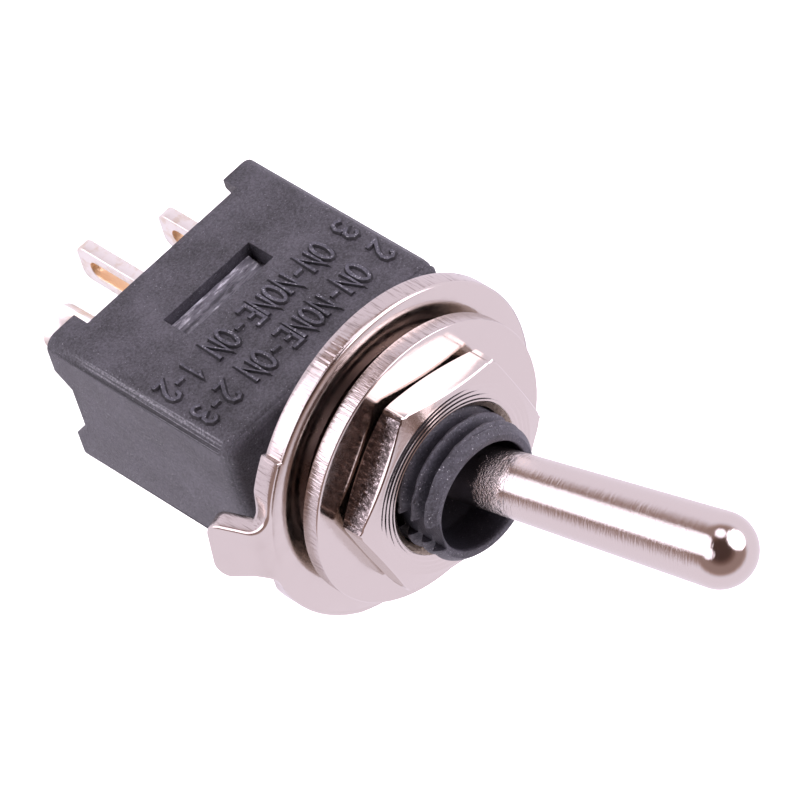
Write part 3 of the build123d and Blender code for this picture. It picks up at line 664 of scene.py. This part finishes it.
def makeCase():
    mesh = softCopy("housing", case["edgeMm"], cutAbove=-0.001, edgeSlot=1, reshape=wornMould)
    return finishPiece("bodyMoulding", mesh, [bodySkin, paleEdgeSkin], "base", ["housing"])


makeCase()
print("bush and body made")


# raised marking on the wide face: generic words and plain numbers, cut into the mould with a ball cutter

marking = {"rows": [("2 ON-NONE-ON 2-3", -3.4), ("3 ON-NONE-ON 1-2", -5.1)], "heightMm": 0.98,
           "widthMm": 0.4, "advanceMm": 0.56, "strokeMm": 0.06, "slopeMm": 0.06, "liftMm": 0.1}

glyphs = {
    "O": [[(0.5 + 0.5 * math.cos(t * tau / 20), 0.5 + 0.5 * math.sin(t * tau / 20)) for t in range(21)]],
    "N": [[(0, 0), (0, 1), (1, 0), (1, 1)]],
    "E": [[(1, 1), (0, 1), (0, 0), (1, 0)], [(0, 0.52), (0.8, 0.52)]],
    "-": [[(0.1, 0.5), (0.9, 0.5)]],
    " ": [],
    "1": [[(0.25, 0.75), (0.55, 1), (0.55, 0)]],
    "2": [[(0.0, 0.74), (0.1, 0.92), (0.45, 1.0), (0.84, 0.92), (0.96, 0.72), (0.76, 0.45), (0.0, 0),
           (1.0, 0)]],
    "3": [[(0.02, 0.86), (0.28, 0.99), (0.66, 0.98), (0.92, 0.82), (0.86, 0.62), (0.42, 0.53),
           (0.9, 0.43), (1.0, 0.22), (0.8, 0.04), (0.42, 0.0), (0.0, 0.12)]],
}

def strokeRibbon(line, points, faces, slots, face):
    # one raised stroke: flat top, sloped sides and closed ends
    t = marking
    half, foot = t["strokeMm"], t["strokeMm"] + t["slopeMm"]
    section = [(-foot, -0.01), (-half, t["liftMm"]), (half, t["liftMm"]), (foot, -0.01)]
    start = len(points)
    for k, here in enumerate(line):
        before = line[k - 1] if k else None
        after = line[k + 1] if k + 1 < len(line) else None
        into = (Vector(here) - Vector(before)).normalized() if before else None
        out = (Vector(after) - Vector(here)).normalized() if after else None
        way = ((into or out) + (out or into)).normalized()
        across = Vector((-way.y, way.x))
        along = into or out
        widen = 1 / max(0.45, across.dot(Vector((-along.y, along.x))))
        points += [(here[0] + across.x * side * widen, face - lift, here[1] + across.y * side * widen)
                   for side, lift in section]
    # the top takes the first material, the sides and ends the second, whose darker colour is painted
    # shade
    for k in range(len(line) - 1):
        here, there = start + 4 * k, start + 4 * (k + 1)
        for j in range(3):
            faces.append((here + j, here + j + 1, there + j + 1, there + j))
            slots.append(0 if j == 1 else 1)
    faces.append(tuple(start + j for j in (3, 2, 1, 0)))
    faces.append(tuple(start + 4 * (len(line) - 1) + j for j in range(4)))
    slots += [1, 1]


def makeMarking():
    t = marking
    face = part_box("housing")[0].y / mm
    points, faces, slots = [], [], []
    for words, rowZ in t["rows"]:
        startX = -(len(words) * t["advanceMm"] - (t["advanceMm"] - t["widthMm"])) / 2
        for place, letter in enumerate(words):
            for stroke in glyphs[letter]:
                line = [(startX + place * t["advanceMm"] + u * t["widthMm"],
                         rowZ + (v - 0.5) * t["heightMm"]) for u, v in stroke]
                strokeRibbon(line, points, faces, slots, face)
    return addPiece("raisedMarking", points, faces, [markTopSkin, markShadedSideSkin], "base", (),
                    slots, 25)


makeMarking()
print("marking made")


# hexagon nut: drawn bar faced, chamfered, countersunk and tapped

def hexRadius(a):
    # distance from the axis to the bar's skin, with slightly rounded corners
    half = nut["acrossFlats"] / 2
    offset = (a + math.pi / 6) % (math.pi / 3) - math.pi / 6
    fromCorner = math.pi / 6 - abs(offset)
    flat = half / math.cos(offset)
    centre = (half - nut["cornerRadius"]) / math.cos(math.pi / 6)
    under = nut["cornerRadius"] ** 2 - (centre * math.sin(fromCorner)) ** 2
    if under <= 0:
        return flat
    return min(flat, centre * math.cos(fromCorner) + math.sqrt(under))


def makeNut():
    t = nut
    top, bottom = t["z"] + t["height"], t["z"]
    faceRadius = t["faceShare"] * t["acrossFlats"] / 2
    slope = math.tan(math.radians(t["chamferAngle"]))
    columns = 6 * t["columnsPerSide"]
    inner = t["bore"] + t["countersink"]
    # the upper face, with turning rings that fade outwards
    upper = []
    for k in range(t["faceSteps"] + 1):
        r = inner + 0.04 + (faceRadius - 0.04 - inner - 0.04) * k / t["faceSteps"]
        fade = max(0.0, 1 - (r - inner) / t["ringReach"]) ** 1.3
        wave = 0.5 - 0.5 * math.cos(tau * (r - inner) / t["ringPitch"])
        upper.append((r, top - t["ringDepth"] * fade * wave))
    points = []
    for i in range(columns):
        a = tau * i / columns
        skin = hexRadius(a)
        drop = (skin - faceRadius) * slope
        profile = [(t["bore"], bottom + t["countersink"]), (t["bore"], top - t["countersink"] - 0.02)]
        profile += [(t["bore"] + 0.03, top - t["countersink"]), (inner, top - 0.03)]
        profile += upper
        profile += [(faceRadius, top - 0.012), (faceRadius + 0.05, top - 0.05 * slope - 0.01)]
        profile += [(faceRadius + (skin - faceRadius) * 0.5, top - drop * 0.5 - 0.012)]
        profile += [(skin - 0.04, top - drop + 0.03 * slope), (skin, top - drop - 0.035)]
        profile += [(skin, top - drop - 0.05 - (t["height"] - 2 * drop - 0.1) * k / 6) for k in range(7)]
        profile += [(skin, bottom + drop + 0.035), (skin - 0.04, bottom + drop - 0.03 * slope)]
        profile += [(faceRadius + 0.05, bottom + 0.05 * slope), (faceRadius - 0.03, bottom)]
        profile += [(inner, bottom), (t["bore"], bottom + t["countersink"])]
        turned = a + math.radians(t["turn"] + 30)
        points += [(r * math.cos(turned), r * math.sin(turned), z) for r, z in profile]
    # thread in the bore, the flats as drawn, and turned skin elsewhere
    flatStart = 4 + len(upper) + 4
    slots = [2 if j < 3 else 1 if flatStart <= j <= flatStart + 8 else 0
             for j in range(len(profile) - 1)]
    return addPiece("hexNut", points, wrapped(columns, len(profile)),
                    [nutFaceSkin, nutFlatSkin, nutThreadSkin], "base", ["hex_nut"],
                    slots * columns, 22)


makeNut()
print("nut made")


# flat washer: blanked disc, its upper edge rolled over by the punch

washer = {"z": 1.25, "thickness": 0.65, "radius": 5.05, "hole": 2.6, "roll": 0.16, "columns": 256}

def makeWasher():
    t = washer
    low, high = t["z"], t["z"] + t["thickness"]
    outline = rounded([(t["hole"], low + 0.3), (t["hole"], high), (4.4, high), (4.9, high),
                       (t["radius"], high), (t["radius"], low), (4.9, low), (t["hole"], low),
                       (t["hole"], low + 0.3)], [0, 0.06, 0, 0, t["roll"], t["roll"], 0, 0.06, 0], 4)
    points, faces = lathe(outline, t["columns"])
    rows = len(outline) - 1
    slots = []
    for k in range(len(faces)):
        a, b = outline[k % rows], outline[k % rows + 1]
        slots.append(1 if abs(a[0] - b[0]) < 0.4 * abs(a[1] - b[1]) and a[0] > 4 else 0)
    return addPiece("flatWasher", points, faces, [washerSkin, washerEdgeSkin], "base", ["flat_washer"],
                    slots, 40)


makeWasher()


# locking ring: blanked flat with its shoulder and tab, then the tab bent down

def ringSide(side):
    # half of the flat outline, from the middle of the tab's end round to the far side
    t = ring
    endX = t["bendX"] + t["bendRadius"] * math.radians(t["bendAngle"]) + t["leg"]
    corner, tip, root, fillet = t["cornerRadius"], side["tabTip"], side["tabRoot"], side["fillet"]
    points = [(endX, (tip - corner) * k / 3) for k in range(3)]
    points += arcPoints((endX - corner, tip - corner), corner, 0, 90, 8)
    centreY = root + fillet
    centreX = math.sqrt((t["shoulder"] + fillet) ** 2 - centreY ** 2)
    straight = endX - corner - centreX
    points += [(endX - corner - straight * k / 10, tip + (root - tip) * k / 10) for k in range(1, 10)]
    touch = math.degrees(math.atan2(centreY, centreX))
    points += arcPoints((centreX, centreY), fillet, 270, 180 + touch, 10)
    points += arcPoints((0, 0), t["shoulder"], touch + 1.5, side["shoulderEnd"], 24)
    for x, y in arcPoints((0, 0), t["radius"], side["shoulderEnd"] + 0.25, 179, 96):
        # the shoulder fades into the round part, or ends in a step
        spent = (math.degrees(math.atan2(y, x)) - side["shoulderEnd"]) / side["fade"]
        grow = 1 + (t["shoulder"] / t["radius"] - 1) * max(0.0, 1 - spent)
        points.append((x * grow, y * grow))
    return points


def ringOutline():
    # flat outline from the middle of the tab's end round to itself, counterclockwise
    upper, lower = (ringSide(ring[k]) for k in ("plusY", "minusY"))
    return upper + [(-ring["radius"], 0)] + [(x, -y) for x, y in lower[:0:-1]]


def ringHole(count):
    # the round hole with the key's tongue, counterclockwise
    t = ring
    root = math.atan2(t["keyHalf"], math.sqrt(t["hole"] ** 2 - t["keyHalf"] ** 2))
    half = [(t["keyTip"], 0), (t["keyTip"], t["keyHalf"]), (t["hole"] * math.cos(root), t["keyHalf"])]
    rest = (count - 5) // 2
    half += [(t["hole"] * math.cos(a), t["hole"] * math.sin(a))
             for a in (root + (math.pi - root) * (k + 1) / (rest + 0.5) for k in range(rest))]
    return half + [(x, -y) for x, y in half[:0:-1]]


def inward(loop, k, amount):
    # a point of the outline moved in, square to the line through the points two before and two after
    before, after = Vector(loop[k - 2]), Vector(loop[(k + 2) % len(loop)])
    along = (after - before).normalized()
    return (loop[k][0] - along.y * amount, loop[k][1] + along.x * amount)


def bendTab(x, y, z):
    # carries a point of the flat blank round the bend and down the leg
    t = ring
    run = x - t["bendX"]
    if run <= 0:
        return (x, y, z)
    radius = t["bendRadius"] - (t["thickness"] - z)
    full = math.radians(t["bendAngle"])
    centreZ = t["thickness"] - t["bendRadius"]
    turn = min(run / t["bendRadius"], full)
    along = max(0.0, run - t["bendRadius"] * full)
    return (t["bendX"] + radius * math.sin(turn) + along * math.cos(turn), y,
            centreZ + radius * math.cos(turn) - along * math.sin(turn))


def blankFlat(loops, tabPoints):
    # triangles over the blank between its outline and its hole, with extra points where the tab bends
    points, edges = [], []
    for loop in loops:
        start = len(points)
        points += [Vector(p) for p in loop]
        edges += [(start + k, start + (k + 1) % len(loop)) for k in range(len(loop))]
    points += [Vector(p) for p in tabPoints]
    made, _, faces, origins, _, _ = geometry.delaunay_2d_cdt(points, edges, [], 1, 1e-5)
    kept = []
    for face in faces:
        middle = sum((made[v] for v in face), Vector((0, 0))) / len(face)
        inKey = abs(middle.y) < ring["keyHalf"] and middle.x > ring["keyTip"]
        if middle.length > ring["hole"] - 0.04 or inKey:
            kept.append([origins[v][0] for v in face])
    return points, kept


def tabGrid(endX, flatInset):
    # points a grid step apart over the tab and the shoulder beside it
    t = ring
    step = t["gridMm"]
    beside = t["shoulder"] - flatInset - 0.08
    points = []
    for column in range(int((endX - flatInset - t["bendX"]) / step)):
        x = t["bendX"] - step + column * step
        reach = 0.55 if x > endX - flatInset - 0.55 else 0.85
        points += [(x, y * step) for y in range(-22, 23)
                   if abs(y * step) < reach or math.hypot(x, y * step) < beside]
    return points


def makeRing():
    t = ring
    outer, hole = ringOutline(), ringHole(160)
    top, roll = t["thickness"], t["roll"]
    flatInset = roll + 0.04
    tabPoints = tabGrid(max(x for x, y in outer), flatInset)
    inset = [inward(outer, k, flatInset) for k in range(len(outer))]
    flat, triangles = blankFlat([inset, hole], tabPoints)
    points, faces, slots = [], [], []
    for z in (top, 0.0):
        start = len(points)
        points += [bendTab(p.x, p.y, z) for p in flat]
        faces += [tuple(start + v for v in (f if z else f[::-1])) for f in triangles]
        slots += [0] * len(triangles)
    # the rim, from the upper flat round to the lower one, and the hole's wall
    section = [(roll - roll * math.sin(math.radians(d)), top - roll + roll * math.cos(math.radians(d)))
               for d in (0, 22, 45, 68, 90)]
    section += [(0.0, top * 0.6), (0.0, top * 0.3)]
    section += [(0.04 - 0.04 * math.cos(math.radians(d)), 0.04 - 0.04 * math.sin(math.radians(d)))
                for d in (0, 45, 90)]
    rows, count = len(section), len(outer)
    start = len(points)
    for k in range(count):
        points += [bendTab(*inward(outer, k, inset), z) for inset, z in section]
    for k in range(count):
        n = (k + 1) % count
        here, there = start + k * rows, start + n * rows
        faces.append((k, here, there, n))
        slots.append(0)
        for j in range(rows - 1):
            faces.append((here + j, here + j + 1, there + j + 1, there + j))
            slots.append(0 if j < 3 else 1)
        faces.append((here + rows - 1, len(flat) + k, len(flat) + n, there + rows - 1))
        slots.append(0)
    for k in range(len(hole)):
        a, b = count + k, count + (k + 1) % len(hole)
        faces.append((b, a, a + len(flat), b + len(flat)))
        slots.append(0)
    turn = Matrix.Rotation(math.radians(t["turn"]), 4, "Z")
    return addPiece("lockingRing", [turn @ Vector(p) for p in points], faces,
                    [ringSkin, ringEdgeSkin], "base", ["locking_ring"], slots, 50)


makeRing()
print("ring and washer made")


# solder lugs: pressed blades, plated before their eyelets were punched

lug = {"edgeMm": 0.07, "baseEdgeMm": 0.04, "eyeletHalf": 0.36, "eyeletTop": 2.85, "eyeletFoot": 0.55,
       "twist": -45, "leanAboutX": -17, "leanAboutY": -10, "bentLength": 2.4, "bendZ": -10.4,
       "pitch": 2.62}

def makeLug(node, frameOf, endZ):
    # faces of the eyelet's wall are found in the lug's own plane
    mesh = softCopy(node, lug["edgeMm"])
    back = frameOf.inverted()
    slots = []
    for face in mesh.polygons:
        centre = back @ (face.center / mm)
        normal = back.to_3x3() @ face.normal
        inHole = abs(centre.y) < lug["eyeletHalf"] + 0.03
        inHole = inHole and lug["eyeletFoot"] - 0.03 < centre.z - endZ < lug["eyeletTop"] + 0.03
        slots.append(1 if inHole and abs(normal.x) < 0.9 else 0)
    return finishPiece(node + "_lug", mesh, [lugSkin, eyeletSkin], "base", [node],
                       slots)


straight = Matrix.Identity(4)
bent = Matrix.Translation((lug["pitch"], 0, lug["bendZ"]))
for lean, about in (("leanAboutX", "X"), ("leanAboutY", "Y"), ("twist", "Z")):
    bent = bent @ Matrix.Rotation(math.radians(lug[lean]), 4, about)
makeLug("terminal_common", straight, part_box("terminal_common")[0].z / mm)
makeLug("terminal_left", straight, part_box("terminal_left")[0].z / mm)
makeLug("terminal_right", bent, -lug["bentLength"])


def makeBase():
    mesh = softCopy("terminal_base", lug["baseEdgeMm"])
    return finishPiece("terminalBase", mesh, [baseSkin], "base", ["terminal_base"])


makeBase()
print("terminals made")


# spring: the wire as it is, riding with the lever

def makeSpring():
    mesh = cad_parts["plunger_spring"].data.copy()
    mesh.materials.clear()
    piece = finishPiece("pressureSpring", mesh, [springSkin], "lever", ["plunger_spring"],
                        None, 40)
    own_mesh(piece)
    return piece


makeSpring()


# the CAD's own solids that need only their finish
finishes = {"pivot_retainer": retainerSkin, "plunger": plungerSkin,
            "rocker_contact": lugSkin, "moving_contact_left": lugSkin, "moving_contact_right": lugSkin,
            "fixed_contact_left": lugSkin, "fixed_contact_right": lugSkin, "terminal_seal": resinSkin,
            "tooth_washer": toothSteelAndGapShadeSkin}
for node, skin in finishes.items():
    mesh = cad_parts[node].data
    mesh.materials.clear()
    mesh.materials.append(skin)


# floor, studio surroundings and lights

# each lobe is (direction, cosine where it starts, cosine where it is full, brightness)
studio = {"floorBelowMm": 0.3, "floorSizeMm": 1200, "floorGlow": 0.62, "skyGlow": 1.0,
          "boxDistanceMm": 260, "boxSizeMm": 160,
          "lobes": [((0.587, -0.733, -0.346), 0.86, 0.92, 1.8),
                    ((0.657, -0.493, -0.57), 0.93, 0.975, 1.3),
                    ((-0.564, -0.551, 0.615), 0.865, 0.915, 3.4),
                    ((-0.247, -0.968, 0.044), 0.96, 0.98, 1.8),
                    ((0.80, -0.59, 0.12), 0.95, 0.975, 1.8)]}

def makeFloor():
    half = studio["floorSizeMm"] / 2
    z = cadLow.z / mm - studio["floorBelowMm"]
    corners = ((-half, -half, z), (half, -half, z), (half, half, z), (-half, half, z))
    mesh = bpy.data.meshes.new("studioFloor")
    mesh.from_pydata([Vector(p) * mm for p in corners], [], [(0, 1, 2, 3)])
    glow = {"Emission Color": toLinear("#ffffff"), "Emission Strength": studio["floorGlow"]}
    mesh.materials.append(newMaterial("studio_paper_white", "#f6f6f6", 0.0, 0.9, glow)[0])
    floor = bpy.data.objects.new("studioFloor", mesh)
    bpy.context.scene.collection.objects.link(floor)
    floor.visible_glossy = False
    return floor


def makeSurroundings():
    # soft boxes and the darker room between them, laid out by direction
    world = bpy.data.worlds.new("softStudio")
    bpy.context.scene.world = world
    world.use_nodes = True
    tree = world.node_tree
    tree.nodes.clear()
    way = addNode(tree, "TexCoord", out="Generated")
    # the room is dark round the viewer, where the opening in the tent is, and bright beyond it
    toViewer = addNode(tree, "VectorMath", {"operation": "DOT_PRODUCT", 1: (0.372, -0.7327, 0.5699)},
                       {0: way}, "Value")
    room, beyond = (addNode(tree, "MapRange", between(*spread), {"Value": toViewer}, "Result")
                    for spread in ((0.93, 0.6, 0.09, 0.4), (0.36, 0.0, 0.0, 0.72)))
    total = addNode(tree, "Math", {"operation": "ADD"}, {0: room, 1: beyond}, 0)
    for direction, start, full, strength in studio["lobes"]:
        facing = addNode(tree, "VectorMath", {"operation": "DOT_PRODUCT", 1: direction}, {0: way},
                         "Value")
        lobe = addNode(tree, "MapRange", between(start, full, 0, strength), {"Value": facing}, "Result")
        total = addNode(tree, "Math", {"operation": "ADD"}, {0: total, 1: lobe}, 0)
    warmth = {"EASE": [(0.1, "#ffc6bd"), (0.45, "#ffd9d6"), (0.95, "#f9eeff")]}
    tint = addNode(tree, "ValToRGB", warmth, {"Fac": total}, "Color")
    lit = addNode(tree, "Background", {}, {"Color": tint, "Strength": total}, 0)
    seen = addNode(tree, "Background", {"Color": toLinear("#ffffff"), "Strength": studio["skyGlow"]},
                   out=0)
    ray = addNode(tree, "LightPath", out="Is Camera Ray")
    mixed = addNode(tree, "MixShader", {}, {0: ray, 1: lit, 2: seen}, 0)
    addNode(tree, "OutputWorld", {}, {"Surface": mixed})


def softBox(name, direction, watts):
    data = bpy.data.lights.new(name, "AREA")
    data.shape = "SQUARE"
    data.size = studio["boxSizeMm"] * mm
    data.energy = watts
    light = bpy.data.objects.new(name, data)
    bpy.context.scene.collection.objects.link(light)
    light.location = Vector(direction).normalized() * studio["boxDistanceMm"] * mm
    light.rotation_mode = "QUATERNION"
    light.rotation_quaternion = Vector(direction).to_track_quat("Z", "Y")
    light.visible_glossy = False
    return light


makeFloor()
makeSurroundings()
softBox("keySoftBox", (-0.35, -0.2, 0.9), 0.35)
softBox("endSoftBox", (0.9, 0.1, 0.35), 0.52)


# camera at the three-quarter view, looking down on the keyway side

view = {"right": (-0.6779, 0.2049, 0.7060), "up": (-0.6341, -0.6490, -0.4205),
        "back": (0.3720, -0.7327, 0.5699), "distanceMm": 225.3, "besideMm": 0.412, "aboveMm": 1.216,
        "lens": 312.9}

def makeCamera():
    data = bpy.data.cameras.new("threeQuarterCamera")
    data.lens = view["lens"]
    data.sensor_width = 36
    data.clip_start, data.clip_end = 0.01, 10
    camera = bpy.data.objects.new("threeQuarterCamera", data)
    bpy.context.scene.collection.objects.link(camera)
    right, up, back = (Vector(view[k]) for k in ("right", "up", "back"))
    turn = Matrix((right, up, back)).transposed().to_4x4()
    place = back * view["distanceMm"] + right * view["besideMm"] + up * view["aboveMm"]
    camera.matrix_world = Matrix.Translation(place * mm) @ turn
    bpy.context.scene.camera = camera


makeCamera()
bpy.context.scene.view_settings.view_transform = "Standard"
print("studio made")
